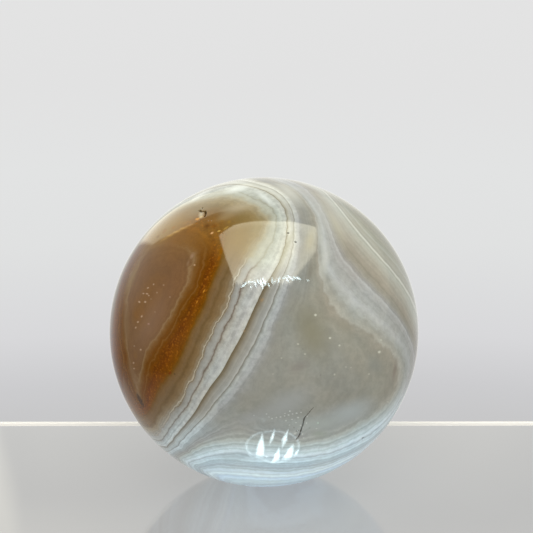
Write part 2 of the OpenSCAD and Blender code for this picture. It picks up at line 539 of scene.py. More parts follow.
FLECKS = tuple(Blotch(*row) for row in (
    (140, 400, 9.5, 2, -63, 0.9, (62, 36, 4), 0.5), (164.5, 231, 4.6, 2.2, 50, 0.8, (132, 88, 8)),
    (173.5, 227.5, 4.2, 2, 38, 0.8, (140, 94, 14)),
    (158, 236.5, 3.4, 1.7, 50, 0.8, (112, 74, 14), 1),
    (197.4, 219, 3.2, 1.6, 15, 0.85, (206, 142, 48)), (207, 226, 5.6, 4, 20, 0.85, (84, 48, 0), 1),
    (214, 226, 5, 3.4, 10, 0.7, (112, 66, 4), 1), (201, 217, 3.4, 1.6, 20, 0.7, (216, 190, 136), 1),
    (196.6, 210, 4, 1.2, 75, 0.4, (120, 108, 70), 1),
    (212, 233, 2.4, 1.3, 30, 0.9, (206, 160, 108)), (219, 231, 2.6, 1.1, 20, 0.9, (196, 156, 74)),
    (222, 221, 3.4, 1.6, 0, 0.6, (130, 94, 30)), (229, 222, 2.6, 2.6, 0, 0.6, (142, 110, 44)),
    (226, 228, 5, 1.2, 35, 0.5, (176, 142, 66)), (221, 251, 5.5, 3, 80, 0.8, (128, 80, 0)),
    (219, 258, 4, 2.4, 70, 0.7, (140, 80, 0)), (204, 291, 3.4, 0.9, 60, 0.8, (196, 132, 40)),
    (197, 302, 3.2, 0.9, 60, 0.7, (190, 124, 36)), (192, 256, 4.6, 2.6, 60, 0.6, (152, 124, 98), 1),
    (194.5, 265, 1.5, 1.2, 0, 0.8, (186, 156, 120)), (188, 263, 5, 2, 70, 0.5, (140, 112, 84), 1),
    (170, 373, 2.6, 1.6, 50, 0.8, (108, 40, 0)), (174.5, 374, 1.1, 1.1, 0, 0.8, (52, 44, 26)),
    (262, 300, 3.4, 2.4, 50, 0.5, (156, 126, 84), 1), (244, 331, 2.6, 2, 0, 0.4, (150, 126, 92), 1),
    (148.6, 323.9, 1.7, 1.4, 0, 0.7, (160, 126, 110)),
    (318, 423, 1.6, 1.6, 0, 0.7, (178, 196, 184)), (354.5, 429, 1.7, 1.6, 0, 0.8, (186, 200, 192)),
    (335, 435.5, 1.4, 1.3, 0, 0.5, (186, 200, 192)), (303, 349, 1.1, 1.1, 0, 0.5, (104, 98, 84)),
    (320.5, 375, 1.6, 0.9, 80, 0.5, (98, 96, 86)), (363, 437.5, 2, 0.8, 15, 0.6, (120, 128, 128)),
    (298.5, 430.6, 1, 1.4, 0, 0.6, (112, 112, 104)), (301, 410, 1.2, 1, 0, 0.5, (104, 104, 98)),
    (309.6, 428, 1.2, 1, 0, 0.4, (108, 108, 102)), (294, 427.6, 1.2, 1.1, 0, 0.5, (106, 106, 100)),
)) + tuple(Blotch(*row, PINK) for row in (
    (147.9, 287.9, 1.7, 1, 20, 0.9), (143.4, 293.5, 1.5, 1, 0, 0.9), (147, 293.8, 2, 1, -15, 0.9),
    (148.8, 295.6, 1.3, 1, 0, 0.8), (139.3, 301.9, 1.7, 1.3, -30, 0.9),
    (145.2, 301.9, 1.7, 1.4, 0, 0.9), (153.6, 284.3, 1.4, 1, 60, 0.8),
    (157, 292.6, 1.3, 1.2, 0, 0.45), (141.7, 316.4, 1.8, 1.2, 60, 0.9),
    (137.9, 322, 1.7, 1.3, 30, 0.8), (135.7, 327.6, 1.6, 1.2, 50, 0.7),
    (140.7, 349.7, 1.5, 1.4, 0, 0.75), (134.3, 346, 1.2, 1.1, 0, 0.5),
    (133.6, 362.9, 1.3, 1.4, 0, 0.75), (134, 368.6, 1.3, 1.2, 0, 0.7),
    (163.6, 285, 1.4, 1.2, 0, 0.4), (170, 297, 1.3, 1.1, 0, 0.4), (151, 299, 1.1, 1, 0, 0.35),
    (155, 312, 1.1, 1, 0, 0.35),
)) + tuple(Blotch(*row, CREAM) for row in (
    (315.5, 315, 1.9, 1.8, 0, 0.9), (330, 338, 1.8, 1.6, 0, 0.85), (339.5, 345.4, 1.5, 1.4, 0, 0.7),
    (379.3, 352, 2.2, 1.8, 30, 0.9), (381, 340, 1.7, 1.5, 0, 0.5), (298, 344, 1.8, 1.3, 0, 0.5),
    (305, 354, 1.6, 1.3, 0, 0.5), (281.5, 358, 1.5, 1.2, 0, 0.4), (369, 374, 1.5, 1.2, 0, 0.45),
    (334.5, 374.5, 1.4, 1.6, 0, 0.5), (346, 367, 1.2, 1.2, 0, 0.4), (351, 367.5, 1.1, 1, 0, 0.35),
    (273, 374, 1.3, 1.1, 0, 0.35), (388, 402, 1.3, 1, 0, 0.45),
)) + tuple(Blotch(*row, CHIP) for row in (
    (272, 418.5, 1.4, 1, 0, 0.8), (276.5, 417.4, 1.3, 1, 0, 0.8), (280.5, 417, 1.5, 1, 0, 0.9),
    (284.6, 416, 1.3, 1, 0, 0.8), (288.6, 415, 1.5, 1, 0, 0.9), (292.6, 414, 1.3, 1, 0, 0.8),
    (296.6, 413.2, 1.6, 1, 0, 1), (301, 412.4, 1.3, 1, 0, 0.8), (286, 420.6, 1.4, 1, 0, 0.8),
    (292, 419.4, 1.4, 1, 0, 0.8), (298, 417.5, 1.6, 1.1, 0, 0.9), (296, 422.6, 1.4, 1, 0, 0.8),
    (289.5, 425, 1.4, 1, 0, 0.7), (306.5, 423, 1.5, 0.9, 70, 0.9), (300.6, 425.5, 1.2, 1, 0, 0.8),
    (295, 433.6, 2.4, 1.6, 30, 0.8), (302.6, 434, 1.8, 0.9, 70, 0.9), (303.5, 438, 1.4, 1, 0, 0.8),
    (300, 442, 1.3, 1, 0, 0.8), (289.8, 411.2, 1.4, 1.2, 0, 1), (266.5, 414, 1.3, 1.1, 0, 0.6),
    (269, 417, 1.1, 1, 0, 0.6), (254, 415.5, 1.2, 1, 0, 0.4), (316.5, 428.6, 1.3, 1.1, 0, 0.6),
    (307.2, 416.5, 1.1, 1, 0, 0.6), (285, 413.4, 1.1, 1, 0, 0.7),
))

@dataclass
class AgateBall:
    """The stone: one ground and polished ball with its open flaws and its growth levels."""

    sight: Sight
    radius: float = BALL_R
    splits: int = 7
    flaw_splits: int = 3
    fleck_splits: int = 2
    first_edge: float = 2.2
    flaw_margin: float = 0.65 * MM
    fleck_margin: float = 1.2
    grid_step: float = 1.0 / 154.0
    steepest: float = 3.0
    # The painted shade in the flaws is full out to the first of these half widths and gone by the
    # second.
    flaw_shade_edge: Point = (0.5, 1.15)
    # foot: the heights on a unit ball over which painted cool light from below comes in.
    foot: Point = (-0.18, -0.52)

    def refine(self, ball: BMesh, near: list[Rows], reach: list[float], times: int) -> None:
        """Splits the edges that lie near some places, and lays the new corners on the ball.

        Args:
            ball: The mesh to change.
            near: Chains of places on a unit ball.
            reach: How far from each chain the edges are split, on a unit ball.
            times: How many times over.
        """
        edge = self.first_edge / 2 ** self.splits
        for turn in range(times):
            points = np.array([v.co for v in ball.verts]) / self.radius
            chosen = np.zeros(len(points), bool)
            for chain, far in zip(near, reach):
                for place in chain:
                    chosen |= np.linalg.norm(points - place, axis=1) < far + edge / 2 ** turn
            ball.verts.index_update()
            edges = [e for e in ball.edges if all(chosen[v.index] for v in e.verts)]
            made = bmesh.ops.subdivide_edges(ball, edges=edges, cuts=1, use_grid_fill=True)
            for part in made["geom_inner"]:
                if isinstance(part, bmesh.types.BMVert):
                    part.co = part.co.normalized() * self.radius
        bmesh.ops.triangulate(ball, faces=[f for f in ball.faces if len(f.verts) > 3])

    def open_flaws(self, ball: BMesh) -> None:
        """Sinks the crack, the hollow and the pits into the ball.

        Args:
            ball: The mesh to change.
        """
        points = np.array([v.co for v in ball.verts]) / self.radius
        sink = np.zeros(len(points))
        for flaw in FLAWS:
            gap, half = flaw.near(points)
            inside = np.sqrt(np.clip(1.0 - (gap / half) ** 2, 0.0, 1.0))
            deep = np.minimum(flaw.depth * MM, self.steepest * half * self.radius)
            sink = np.maximum(sink, inside * deep)
        for vert, depth in zip(ball.verts, sink):
            if depth > 0.0:
                vert.co *= 1.0 - depth / self.radius

    def mark(self, mesh: bpy.types.Mesh, name: str, values: Rows) -> None:
        """Stores one value or colour at each corner of the mesh.

        Args:
            mesh: The mesh to mark.
            name: The name under which the values are kept.
            values: One for each corner, or rows of four for a colour.
        """
        kind, slot = ("FLOAT", "value") if values.ndim == 1 else ("FLOAT_COLOR", "color")
        layer = mesh.attributes.new(name, kind, "POINT")
        layer.data.foreach_set(slot, np.ascontiguousarray(values, np.float32).ravel())

    def overlaid(self, points: Rows, blotches: tuple[Blotch, ...]) -> Rows:
        """Lays blotches over each other.

        Args:
            points: Directions of length 1 from the middle of the ball.
            blotches: The stains, the first one lowest.

        Returns:
            blotches: The marks, the first one lowest.
        """
        laid = np.zeros((len(points), 4))
        for blotch in blotches:
            cover = blotch.cover(self.sight, points)
            under = laid[:, 3] * (1.0 - cover)
            total = np.maximum(under + cover, 1e-6)
            tint = np.array(linear(blotch.colour)[:3])
            laid[:, :3] = (laid[:, :3] * under[:, None] + tint * cover[:, None]) / total[:, None]
            laid[:, 3] = under + cover
        return laid

    def flaw_shading(self, points: Rows) -> Rows:
        """Finds where shade is painted into the crack, the hollow and the pits.

        Args:
            points: Directions of length 1 from the middle of the ball.

        Returns:
            The share of painted shade at each.
        """
        flaw_shade = np.zeros(len(points))
        for gap, half in (flaw.near(points) for flaw in FLAWS):
            flaw_shade = np.maximum(flaw_shade, 1.0 - smooth_step(*self.flaw_shade_edge, gap / half))
        return flaw_shade

    def build(self) -> bpy.types.Object:
        """Builds the ball.

        Returns:
            The finished piece, without its material.
        """
        ball = bmesh.new()
        bmesh.ops.create_icosphere(ball, subdivisions=self.splits, radius=self.radius)
        chains = [flaw.dense() for flaw in FLAWS]
        reaches = [self.flaw_margin / self.radius] * len(chains)
        spots = [self.sight.lift(np.array([[f.across, f.down]])) for f in FLECKS]
        sizes = [self.fleck_margin * max(f.long, f.short) * self.grid_step for f in FLECKS]
        self.refine(ball, spots + chains, sizes + reaches, self.fleck_splits)
        self.refine(ball, chains, reaches, self.flaw_splits - self.fleck_splits)
        points = unit(np.array([v.co for v in ball.verts]))
        self.open_flaws(ball)
        piece = placed("agate_ball_stone", ball)
        mesh = piece.data
        mesh.shade_smooth()
        # top marks the painted window light; foot marks where painted cool light from below comes
        # in.
        zones = [zone.cover(self.sight, points) for zone in WINDOW_LIT_ZONES]
        for name, values in (
                ("growth", GrowthField(self.sight, COURSES, MARKS).level(points)),
                ("foot", smooth_step(*self.foot, points[:, 2])), ("top", np.max(zones, axis=0)),
                # The stain layer holds real stains and painted light; the fleck layer holds real
                # flecks.
                ("stain_and_light", self.overlaid(points, STAINS_AND_PAINTED_LIGHT)), ("fleck", self.overlaid(points, FLECKS)),
                # Painted shade in the crack, the hollow and the pits.
                ("flaw_shade", self.flaw_shading(points))):
            self.mark(mesh, name, values)
        return piece


class Wiring:
    """Adds nodes to one material or world and joins them."""

    def __init__(self, owner: bpy.types.Material | bpy.types.World) -> None:
        """Empties a material or world, to wire it anew.

        Args:
            owner: The material or world.
        """
        owner.use_nodes = True
        self.tree = owner.node_tree
        self.tree.nodes.clear()

    def node(self, kind: str, sets: dict[str, object] | None = None,
             **joins: object) -> bpy.types.Node:
        """Adds a node.

        Args:
            kind: The node's type, without "ShaderNode".
            sets: Its properties.
            **joins: Its inputs, by name with _ for a space, or i0, i1 and so on by number. Each is
                a value, or the socket that feeds it.

        Returns:
            The node.
        """
        made = self.tree.nodes.new("ShaderNode" + kind)
        for name, value in (sets or {}).items():
            setattr(made, name, value)
        for name, value in joins.items():
            number = name[1:]
            key = int(number) if name[0] == "i" and number.isdigit() else name.replace("_", " ")
            if isinstance(value, Socket):
                self.tree.links.new(value, made.inputs[key])
            else:
                made.inputs[key].default_value = value
        return made

    def work(self, operation: str, *values: object) -> Socket:
        """Adds Math nodes that work through some values from the left.

        Args:
            operation: What each node does with two values.
            *values: The values or sockets, two or more.

        Returns:
            The result.
        """
        total = values[0]
        for value in values[1:]:
            total = self.node("Math", {"operation": operation}, i0=total, i1=value).outputs[0]
        return total

    def times(self, *values: object) -> Socket:
        """Returns the product of some values."""
        return self.work("MULTIPLY", *values)

    def plus(self, *values: object) -> Socket:
        """Returns the sum of some values."""
        return self.work("ADD", *values)

    def minus(self, first: object, second: object) -> Socket:
        """Returns the first value less the second."""
        return self.work("SUBTRACT", first, second)

    def most(self, *values: object) -> Socket:
        """Returns the largest of some values."""
        return self.work("MAXIMUM", *values)

    def slope(self, value: object, rise: object, start: object) -> Socket:
        """Returns a start plus a value times a rise."""
        made = self.node("Math", {"operation": "MULTIPLY_ADD"}, i0=value, i1=rise, i2=start)
        return made.outputs[0]

    def span(self, value: object, low: object, high: object, to_low: object = 0.0,
             to_high: object = 1.0) -> Socket:
        """Returns a number that goes from one to another as the value goes from low to high."""
        return self.node("MapRange", {"clamp": True}, i0=value, i1=low, i2=high, i3=to_low,
                         i4=to_high).outputs[0]

    def blend(self, share: object, first: object, second: object, way: str = "MIX") -> Socket:
        """Returns the first colour with a share of the second laid over it."""
        return self.node("Mix", {"data_type": "RGBA", "blend_type": way}, i0=share, i6=first,
                         i7=second).outputs[2]

    def noise(self, scale: float, detail: float, roughness: float = 0.5,
              **place: object) -> Socket:
        """Adds a noise texture.

        Args:
            scale: How fine it is.
            detail: How many finer layers it has.
            roughness: How strong each finer layer is.
            **place: Vector for noise in space, or W for noise along a value.

        Returns:
            The noise, from 0 to 1.
        """
        sets = {"noise_dimensions": "1D" if "W" in place else "3D"}
        return self.node("TexNoise", sets, Scale=scale, Detail=detail, Roughness=roughness,
                         **place).outputs["Fac"]

    def layer(self, name: str) -> bpy.types.Node:
        """Returns a node that reads what the mesh holds under a name."""
        return self.node("Attribute", {"attribute_name": name})

    def ramp(self, value: object, low: float, high: float,
             stops: tuple[tuple[float, Colour | float], ...]) -> Socket:
        """Adds a Color Ramp over a range of levels.

        Args:
            value: The level.
            low: The level at the ramp's start.
            high: The level at its end.
            stops: Levels and the colours or numbers there, in rising order, 32 at most.

        Returns:
            The colour or number at the level.
        """
        made = self.node("ValToRGB", i0=self.span(value, low, high))
        elements = made.color_ramp.elements
        for number, (level, tint) in enumerate(stops):
            place = (level - low) / (high - low)
            element = elements[number] if number < 2 else elements.new(place)
            element.position = place
            element.color = linear(tint) if isinstance(tint, tuple) else (tint, tint, tint, 1.0)
        return made.outputs[0]

    def veil(self, share: object, shader: Socket) -> Socket:
        """Returns a shader with a share of clear mixed in."""
        clear = self.node("BsdfTransparent").outputs[0]
        return self.node("MixShader", i0=share, i1=shader, i2=clear).outputs[0]

    def close(self, shader: Socket) -> None:
        """Joins the shader to the material's output."""
        self.node("OutputMaterial", Surface=shader)


HEART = (
    (0, (120, 84, 46)), (0.12, (124, 84, 40)), (0.2, (114, 80, 40)), (0.28, (122, 84, 44)),
    (0.4, (114, 82, 48)), (0.6, (112, 82, 54)), (0.9, (109, 79, 50)), (0.96, (112, 82, 52)),
    (1, (130, 103, 70)), (1.04, (118, 88, 54)), (1.1, (111, 77, 36)), (1.28, (101, 60, 10)),
    (1.34, (100, 60, 10)), (1.385, (117, 78, 32)), (1.43, (101, 59, 4)), (1.5, (97, 54, 0)),
    (1.65, (98, 50, 0)), (1.82, (107, 60, 0)), (1.92, (105, 62, 0)), (2, (103, 71, 20)),
    (2.1, (108, 81, 46)), (2.3, (110, 87, 57)), (2.45, (100, 78, 46)), (2.6, (112, 90, 59)),
)
NEST = (
    (2.4, (101, 77, 44)), (2.62, (111, 89, 58)), (2.8, (119, 99, 70)), (2.93, (130, 117, 94)),
    (2.965, (134, 120, 96)), (2.99, (164, 156, 138)), (3.02, (154, 147, 130)),
    (3.045, (104, 89, 64)), (3.08, (128, 121, 106)), (3.15, (138, 135, 126)),
    (3.3, (147, 147, 140)), (3.36, (142, 138, 129)), (3.395, (98, 86, 74)), (3.43, (132, 127, 116)),
    (3.47, (156, 154, 143)), (3.6, (160, 162, 156)), (3.8, (166, 167, 162)),
    (3.95, (178, 179, 171)), (3.985, (172, 172, 160)), (4, (82, 70, 48)), (4.03, (102, 91, 70)),
    (4.12, (121, 113, 95)), (4.3, (141, 139, 129)), (4.46, (142, 141, 133)),
    (4.53, (161, 161, 154)), (4.575, (158, 158, 150)), (4.6, (112, 108, 97)),
    (4.64, (138, 139, 131)), (4.75, (160, 163, 158)), (4.92, (158, 160, 157)),
    (5.05, (140, 141, 136)), (5.4, (129, 126, 115)),
)
# The nest bands at the foot, made lighter and bluer by painted cool light from below.
NEST_COOL_LIT = (
    (1.9, (134, 110, 58)), (2.2, (142, 120, 86)), (2.6, (144, 130, 104)), (2.93, (154, 152, 142)),
    (2.975, (170, 166, 154)), (3.03, (134, 130, 122)), (3.1, (166, 168, 164)),
    (3.3, (170, 175, 172)), (3.36, (160, 163, 159)), (3.395, (112, 110, 104)),
    (3.44, (162, 168, 168)), (3.6, (180, 192, 194)), (3.8, (186, 198, 200)),
    (3.95, (194, 202, 202)), (3.985, (172, 176, 173)), (4, (100, 97, 88)), (4.04, (130, 129, 121)),
    (4.15, (158, 164, 161)), (4.35, (180, 190, 191)), (4.5, (180, 193, 195)),
    (4.575, (174, 183, 184)), (4.6, (124, 126, 122)), (4.65, (174, 186, 188)),
    (4.8, (198, 212, 217)), (4.95, (184, 198, 202)), (5.1, (162, 173, 176)), (5.4, (154, 161, 164)),
)
# The nest bands painted lighter and warmer where the window light falls: painted light.
NEST_WINDOW_LIT = (
    (0, (120, 88, 50)), (0.9, (120, 86, 46)), (1.5, (124, 84, 30)), (2, (118, 84, 32)),
    (2.3, (116, 90, 46)), (2.6, (122, 103, 62)), (2.8, (136, 120, 82)), (3, (150, 140, 110)),
    (3.2, (162, 162, 143)), (3.35, (164, 166, 150)), (3.395, (146, 146, 128)),
    (3.44, (160, 164, 150)), (3.6, (173, 178, 166)), (3.8, (179, 183, 171)),
    (3.93, (180, 182, 168)), (3.97, (158, 156, 138)), (3.99, (118, 112, 88)),
    (4.01, (128, 122, 98)), (4.04, (176, 176, 158)), (4.2, (200, 202, 186)),
    (4.45, (204, 206, 192)), (4.58, (184, 184, 166)), (4.61, (160, 158, 138)),
    (4.66, (212, 214, 198)), (4.8, (224, 226, 210)), (4.95, (202, 202, 184)),
    (5.1, (176, 174, 154)), (5.4, (166, 163, 142)),
)
CROWN = (
    (5, (136, 136, 126)), (5.5, (136, 136, 126)), (5.8, (141, 139, 125)), (5.96, (142, 138, 124)),
    (6.02, (162, 161, 149)), (6.1, (152, 152, 141)), (6.25, (162, 164, 156)),
    (6.45, (172, 174, 170)), (6.55, (161, 163, 157)), (6.75, (158, 159, 153)),
    (6.95, (164, 164, 159)), (7, (172, 173, 168)), (7.05, (150, 149, 143)), (7.2, (147, 144, 131)),
    (7.35, (142, 137, 121)), (7.5, (153, 147, 131)), (7.7, (154, 151, 136)),
    (7.95, (172, 172, 158)), (8.02, (165, 167, 153)), (8.2, (163, 165, 151)),
    (8.26, (192, 194, 180)), (8.31, (196, 198, 184)), (8.36, (150, 150, 136)),
    (8.5, (158, 158, 143)), (8.62, (146, 146, 129)), (8.67, (160, 162, 147)),
    (8.72, (156, 158, 142)), (8.78, (144, 145, 126)), (9, (143, 142, 122)), (9.3, (136, 136, 112)),
    (10.5, (137, 137, 114)),
)
# The outer bands at the foot, made lighter and bluer by painted cool light from below.
FOOT_BANDS_COOL_LIT = (
    (5, (172, 184, 186)), (5.6, (156, 159, 157)), (5.9, (168, 175, 170)), (6.1, (190, 204, 204)),
    (6.2, (178, 193, 194)), (6.35, (200, 216, 220)), (6.45, (190, 210, 214)),
    (6.6, (224, 242, 250)), (6.72, (190, 208, 216)), (6.8, (200, 220, 228)),
    (6.95, (212, 234, 242)), (7.05, (190, 212, 220)), (7.25, (178, 194, 202)),
    (7.36, (202, 222, 228)), (7.45, (220, 241, 252)), (7.6, (228, 249, 255)),
    (7.7, (206, 232, 252)), (7.85, (220, 246, 255)), (8.1, (206, 234, 255)),
    (10.5, (200, 228, 250)),
)
CRIMP = (
    (0, 0.5), (0.9, 0.8), (1.4, 1.2), (1.9, 0.6), (2.6, 0.9), (3, 1.3), (3.4, 0.8), (3.75, 0.3),
    (4, 0.08), (4.3, 0.3), (4.6, 0.45), (5, 0.6), (5.8, 0.7), (6.4, 0.7), (7, 0.5), (8, 0.3),
    (9, 0.3),
)
GRAIN = (
    (0, 0.35), (1.4, 0.4), (1.5, 1), (1.9, 1), (2.05, 0.5), (2.9, 0.5), (3.4, 0.6), (3.5, 1.2),
    (3.95, 1.2), (4.02, 0.4), (4.6, 0.5), (4.7, 1), (5, 0.9), (5.2, 0.4), (6, 0.6), (7, 0.6),
    (7.3, 0.4), (9, 0.3),
)

@dataclass(frozen=True)
class AgateFinish:
    """Polished banded agate: colours that follow the growth levels, with mottling and laminae, with
    painted cool light at the foot, painted window light in the top zones and painted shade in the
    flaws.
    """

    heart_end: float = 2.6
    nest_start: float = 2.4
    low_start: float = 1.9
    nest_end: float = 5.4
    outer_start: float = 5.0
    highest: float = 10.5
    to_nest: Point = (2.42, 2.6)
    to_outer: Point = (5.05, 5.35)
    broad_scale: float = 200.0
    bend: float = 0.16
    fine_scale: float = 520.0
    crimp: float = 0.32
    lamina_scale: float = 9.0
    lamina_range: Point = (0.3, 0.7)
    lamina: float = 0.07
    foot_laminae: float = 1.5
    mottle_scale: float = 900.0
    mottle_range: Point = (0.38, 0.62)
    mottle: float = 0.12
    tint_scale: float = 150.0
    tint_range: Point = (0.3, 0.7)
    tint: float = 0.025
    spark_scale: float = 2600.0
    spark_range: Point = (0.54, 0.76)
    spark_cover: float = 0.42
    amber_in: Point = (1.45, 1.6)
    amber_out: Point = (1.88, 1.98)
    spark: Colour = (168, 104, 22)
    # The heart made lighter at the foot: painted light from below.
    lit_foot_heart: Colour = (150, 112, 62)
    lit_foot_heart_cover: float = 0.15
    # The colour of the painted shade in the crack, the hollow and the pits.
    flaw_shade: Colour = (62, 48, 30)
    flaw_shade_cover: float = 0.75
    roughness: float = 0.05
    ior: float = 1.54

    def warped(self, w: Wiring, place: Socket) -> Socket:
        """Crimps the growth lines.

        Args:
            w: The wiring to add to.
            place: Object coordinates.

        Returns:
            The crimped level.
        """
        growth = w.layer("growth").outputs["Fac"]
        broad = w.noise(self.broad_scale, 1.0, Vector=place)
        fine = w.noise(self.fine_scale, 3.0, 0.55, Vector=place)
        bend = w.plus(w.slope(broad, self.bend, -self.bend / 2),
                      w.slope(fine, self.crimp, -self.crimp / 2))
        return w.slope(bend, w.ramp(growth, 0.0, self.highest, CRIMP), growth)

    def banded(self, w: Wiring, level: Socket, foot: Socket) -> Socket:
        """Colours the bands.

        Args:
            w: The wiring to add to.
            level: The growth level.
            foot: The share of the ball's foot, where painted cool light from below makes the bands
                lighter and bluer.

        Returns:
            The colour of the clean stone.
        """
        # Painted cool light from below lightens the nest and the heart at the foot.
        nest = w.blend(foot, w.ramp(level, self.nest_start, self.nest_end, NEST),
                       w.ramp(level, self.low_start, self.nest_end, NEST_COOL_LIT))
        heart = w.blend(w.times(foot, self.lit_foot_heart_cover),
                        w.ramp(level, 0.0, self.heart_end, HEART), linear(self.lit_foot_heart))
        nest = w.blend(w.span(level, *self.to_nest), heart, nest)
        # Painted window light: the lighter, warmer nest colours laid over the top zones.
        top = w.ramp(level, 0.0, self.nest_end, NEST_WINDOW_LIT)
        nest = w.blend(w.layer("top").outputs["Fac"], nest, top)
        # Painted cool light from below lightens the outer bands at the foot.
        outer = w.blend(foot, w.ramp(level, self.outer_start, self.highest, CROWN),
                        w.ramp(level, self.outer_start, self.highest, FOOT_BANDS_COOL_LIT))
        return w.blend(w.span(level, *self.to_outer), nest, outer)

    def grained(self, w: Wiring, place: Socket, level: Socket, foot: Socket,
                colour: Socket) -> Socket:
        """Lays the laminae, the mottling, a drift of tint and the amber sparks over the bands.

        Args:
            w: The wiring to add to.
            place: Object coordinates.
            level: The growth level.
            foot: The share of the ball's foot.
            colour: The colour of the bands.

        Returns:
            The colour with its grain.
        """
        laminae = w.span(w.noise(self.lamina_scale, 3.0, 0.6, W=level), *self.lamina_range,
                         -self.lamina, self.lamina)
        clouds = w.span(w.noise(self.mottle_scale, 4.0, 0.7, Vector=place), *self.mottle_range,
                        -self.mottle, self.mottle)
        both = w.times(w.slope(laminae, w.slope(foot, self.foot_laminae, 1.0), 1.0),
                       w.slope(clouds, w.ramp(level, 0.0, self.highest, GRAIN), 1.0))
        warm = w.span(w.noise(self.tint_scale, 2.0, Vector=place), *self.tint_range,
                      1.0 - self.tint, 1.0 + self.tint)
        shade = w.node("CombineColor", i0=w.times(both, warm), i1=both,
                       i2=w.work("DIVIDE", both, warm))
        colour = w.blend(1.0, colour, shade.outputs[0], "MULTIPLY")
        sparks = w.span(w.noise(self.spark_scale, 1.0, Vector=place), *self.spark_range, 0.0,
                        self.spark_cover)
        amber = w.times(w.span(level, *self.amber_in), w.span(level, *self.amber_out, 1.0, 0.0))
        return w.blend(w.times(sparks, amber), colour, linear(self.spark))

    def material(self) -> bpy.types.Material:
        """Wires the material.

        Returns:
            The material.
        """
        material = bpy.data.materials.new("polished_agate")
        w = Wiring(material)
        place = w.node("TexCoord").outputs["Object"]
        level = self.warped(w, place)
        foot = w.layer("foot").outputs["Fac"]
        colour = self.grained(w, place, level, foot, self.banded(w, level, foot))
        # The stain layer carries real stains and patches of painted light; the flecks are real.
        for name in ("stain_and_light", "fleck"):
            laid = w.layer(name).outputs
            colour = w.blend(laid["Alpha"], colour, laid["Color"])
        # Painted shade: darkens the crack, the hollow and the pits.
        flaw_shade = w.times(w.layer("flaw_shade").outputs["Fac"], self.flaw_shade_cover)
        colour = w.blend(flaw_shade, colour, linear(self.flaw_shade))
        stone = w.node("BsdfPrincipled", Base_Color=colour, Roughness=self.roughness,
                       IOR=self.ior)
        w.close(stone.outputs[0])
        return material


@dataclass(frozen=True)
class SheetFinish:
    """The glossy pale sheet. It fades away in the ball, and is clear to the eye from below."""

    colour: Colour = (108, 108, 107)
    cloud: Colour = (103, 103, 102)
    cloud_scale: float = 20.0
    cloud_range: Point = (0.3, 0.7)
    glow: float = 0.26
    light: float = 0.35
    dark: Colour = (84, 70, 52)
    dark_side: Point = (-0.10, -0.035)
    dimming: float = 0.92
    fade: Point = (0.12, 0.6)
    faded: float = 0.35
    roughness: float = 0.06
    ior: float = 1.5
    underside: float = -0.5

    def material(self) -> bpy.types.Material:
        """Wires the material.

        Returns:
            The material.
        """
        material = bpy.data.materials.new("glossy_sheet")
        w = Wiring(material)
        place = w.node("TexCoord").outputs["Object"]
        path = w.node("LightPath").outputs
        lit, eye = path["Is Diffuse Ray"], path["Is Camera Ray"]
        tone = w.span(w.noise(self.cloud_scale, 3.0, Vector=place), *self.cloud_range)
        side = w.node("SeparateXYZ", i0=place).outputs[0]
        dark = w.times(path["Is Glossy Ray"], w.span(side, *self.dark_side, 1.0, 0.0))
        colour = w.blend(tone, linear(self.colour), linear(self.cloud))
        colour = w.blend(dark, colour, linear(self.dark))
        far = w.node("VectorMath", {"operation": "LENGTH"}, i0=place).outputs["Value"]
        fade = w.times(w.span(far, *self.fade, 1.0, self.faded),
                       w.slope(dark, -self.dimming, 1.0))
        glow = w.times(w.most(fade, lit, eye), w.slope(lit, self.light, self.glow))
        gloss = w.node("BsdfPrincipled", Base_Color=colour, Roughness=self.roughness,
                       IOR=self.ior, Emission_Color=linear((255, 255, 255)),
                       Emission_Strength=glow)
        facing = w.node("SeparateXYZ", i0=w.node("NewGeometry").outputs["True Normal"])
        below = w.times(eye, w.work("LESS_THAN", facing.outputs[2], self.underside))
        w.close(w.veil(below, gloss.outputs[0]))
        return material


@dataclass(frozen=True)
class EdgeFinish:
    """The bright cut edge of the sheet."""

    colour: Colour = (225, 222, 214)
    roughness: float = 0.4
    glow_colour: Colour = (255, 250, 238)
    glow: float = 0.1

    def material(self) -> bpy.types.Material:
        """Wires the material.

        Returns:
            The material.
        """
        material = bpy.data.materials.new("cut_edge")
        w = Wiring(material)
        w.close(w.node("BsdfPrincipled", Base_Color=linear(self.colour),
                       Roughness=self.roughness, Emission_Color=linear(self.glow_colour),
                       Emission_Strength=self.glow).outputs[0])
        return material


@dataclass(frozen=True)
class GlintFinish:
    """Light that shines from the front of a face alone, as strongly as its corners say."""

    colour: Colour = (224, 249, 255)

    def material(self) -> bpy.types.Material:
        """Wires the material.

        Returns:
            The material.
        """
        material = bpy.data.materials.new("glint_light")
        w = Wiring(material)
        shine = w.node("Emission", Color=linear(self.colour),
                       Strength=w.layer("glow").outputs["Fac"])
        w.close(w.veil(w.node("NewGeometry").outputs["Backfacing"], shine.outputs[0]))
        return material


